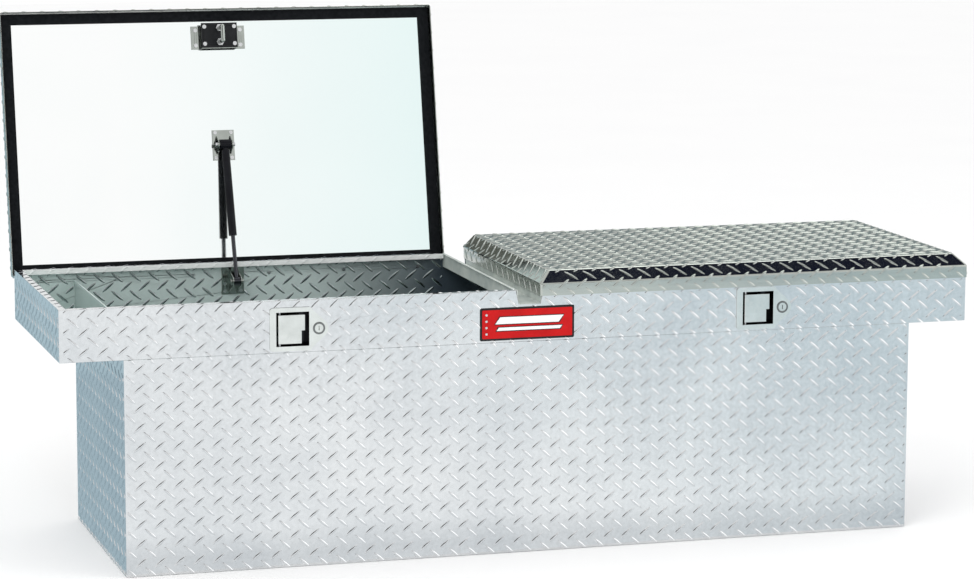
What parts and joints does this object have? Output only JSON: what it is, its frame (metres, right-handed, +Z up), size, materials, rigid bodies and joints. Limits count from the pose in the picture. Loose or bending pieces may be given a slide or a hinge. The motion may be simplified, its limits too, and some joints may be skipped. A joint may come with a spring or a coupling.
{
  "type": "truck tool box",
  "caption": "Crossover truck tool box in tread-plate sheet with two gull-wing lids, gas struts, locking paddle latches and wings that rest on the bed rails.",
  "frame": {"origin": "centre of the tub's underside", "axes": "+X along the box (the lock side of each latch), +Y from the front face to the hinge side, +Z up"},
  "size_m": [1.776, 0.6628, 0.9885],
  "materials": {
    "tread_plate": "bright tread plate",
    "lid_tread_plate": "bright tread plate",
    "liner_sheet": "smooth mirror sheet",
    "foam_seal": "closed-cell foam",
    "rivets_and_hinges": "stainless",
    "latch_chrome": "polished stainless",
    "bracket_chrome": "bright zinc plate",
    "black_paint": "semi-gloss",
    "strut_black": "gloss black",
    "badge_black": "gloss",
    "badge_red": "gloss",
    "zinc_steel": "zinc plate"
  },
  "bodies": {
    "body": {"tub_front": "tread_plate", "tub_rear": "tread_plate", "tub_end_left": "tread_plate", "tub_end_right": "tread_plate", "tub_floor": "tread_plate", "rail_front": "tread_plate", "rail_rear": "tread_plate", "wing_left": "tread_plate", "wing_right": "tread_plate", "gutter": "tread_plate", "hinge_leaf_body_left": "rivets_and_hinges", "hinge_leaf_body_right": "rivets_and_hinges", "hinge_pins": "rivets_and_hinges", "strut_bracket_body_left": "bracket_chrome", "strut_bracket_body_right": "bracket_chrome", "strut_pivot_pins": "bracket_chrome", "latch_bezel_left": "latch_chrome", "latch_bezel_right": "latch_chrome", "latch_case_left": "zinc_steel", "latch_case_right": "zinc_steel", "hook_pivots": "zinc_steel", "paddle_pins": "zinc_steel", "lock_barrel_left": "latch_chrome", "lock_barrel_right": "latch_chrome", "latch_springs": "zinc_steel", "badge_plate": "badge_black", "badge_face": "badge_red", "body_fasteners": "rivets_and_hinges"},
    "lid_left": {"lid_skin_left": "lid_tread_plate", "lid_liner_left": "liner_sheet", "lid_seal_left": "foam_seal", "hinge_leaf_lid_left": "rivets_and_hinges", "striker_bracket_left": "bracket_chrome", "striker_plate_left": "black_paint", "striker_loop_left": "bracket_chrome", "strut_bracket_lid_left": "bracket_chrome", "lid_fasteners_left": "rivets_and_hinges"},
    "strut_rod_left": {"strut_rod_left": "bracket_chrome"},
    "strut_tube_left": {"strut_tube_left": "strut_black", "strut_stud_left": "bracket_chrome"},
    "paddle_left": {"paddle_left": "latch_chrome"},
    "latch_hook_left": {"latch_hook_left": "zinc_steel"},
    "lock_left": {"lock_plug_left": "latch_chrome", "lock_cam_left": "zinc_steel"},
    "lid_right": {"lid_skin_right": "lid_tread_plate", "lid_liner_right": "liner_sheet", "lid_seal_right": "foam_seal", "hinge_leaf_lid_right": "rivets_and_hinges", "striker_bracket_right": "bracket_chrome", "striker_plate_right": "black_paint", "striker_loop_right": "bracket_chrome", "strut_bracket_lid_right": "bracket_chrome", "lid_fasteners_right": "rivets_and_hinges"},
    "strut_rod_right": {"strut_rod_right": "bracket_chrome"},
    "strut_tube_right": {"strut_tube_right": "strut_black", "strut_stud_right": "bracket_chrome"},
    "paddle_right": {"paddle_right": "latch_chrome"},
    "latch_hook_right": {"latch_hook_right": "zinc_steel"},
    "lock_right": {"lock_plug_right": "latch_chrome", "lock_cam_right": "zinc_steel"}
  },
  "joints": [
    {"name": "lid_left_hinge", "type": "hinge", "parent": "body", "child": "lid_left", "pos_m": [0, 0.257, 0.486], "axis": [-1, 0, 0], "range_deg": [-102, 0]},
    {"name": "strut_left_pivot", "type": "hinge", "parent": "body", "child": "strut_rod_left", "pos_m": [-0.455, 0.214, 0.465], "axis": [-1, 0, 0], "range_deg": [-103.6, 0]},
    {"name": "strut_left_slide", "type": "slide", "parent": "strut_rod_left", "child": "strut_tube_left", "axis": [0, 0.353, 0.9356], "range_m": [-0.0743, 0]},
    {"name": "paddle_left_pivot", "type": "hinge", "parent": "body", "child": "paddle_left", "pos_m": [-0.478, -0.249, 0.446], "axis": [0, 0, -1], "range_deg": [0, 25], "stiffness_Nm_per_rad": 0.35, "springref_deg": -14.32},
    {"name": "latch_hook_left_pivot", "type": "hinge", "parent": "body", "child": "latch_hook_left", "pos_m": [-0.477, -0.204, 0.446], "axis": [0, -1, 0], "range_deg": [0, 39.1]},
    {"name": "lock_left_turn", "type": "hinge", "parent": "body", "child": "lock_left", "pos_m": [-0.4055, -0.244, 0.446], "axis": [0, -1, 0], "range_deg": [0, 90]},
    {"name": "lid_right_hinge", "type": "hinge", "parent": "body", "child": "lid_right", "pos_m": [0, 0.257, 0.486], "axis": [-1, 0, 0], "range_deg": [0, 102]},
    {"name": "strut_right_pivot", "type": "hinge", "parent": "body", "child": "strut_rod_right", "pos_m": [0.455, 0.214, 0.465], "axis": [-1, 0, 0], "range_deg": [0, 103.6]},
    {"name": "strut_right_slide", "type": "slide", "parent": "strut_rod_right", "child": "strut_tube_right", "axis": [0, -0.9924, 0.1234], "range_m": [0, 0.0743]},
    {"name": "paddle_right_pivot", "type": "hinge", "parent": "body", "child": "paddle_right", "pos_m": [0.432, -0.249, 0.446], "axis": [0, 0, -1], "range_deg": [0, 25], "stiffness_Nm_per_rad": 0.35, "springref_deg": -14.32},
    {"name": "latch_hook_right_pivot", "type": "hinge", "parent": "body", "child": "latch_hook_right", "pos_m": [0.433, -0.204, 0.446], "axis": [0, -1, 0], "range_deg": [0, 39.1]},
    {"name": "lock_right_turn", "type": "hinge", "parent": "body", "child": "lock_right", "pos_m": [0.5045, -0.244, 0.446], "axis": [0, -1, 0], "range_deg": [0, 90]}
  ],
  "couplings": [
    {"joint": "strut_left_pivot", "follows": "lid_left_hinge", "ratio": 1.0155},
    {"joint": "strut_left_slide", "follows": "lid_left_hinge", "m_per_rad": 0.04162},
    {"joint": "latch_hook_left_pivot", "follows": "paddle_left_pivot", "ratio": 1.56},
    {"joint": "strut_right_pivot", "follows": "lid_right_hinge", "ratio": 1.0155},
    {"joint": "strut_right_slide", "follows": "lid_right_hinge", "m_per_rad": 0.04162},
    {"joint": "latch_hook_right_pivot", "follows": "paddle_right_pivot", "ratio": 1.56}
  ]
}
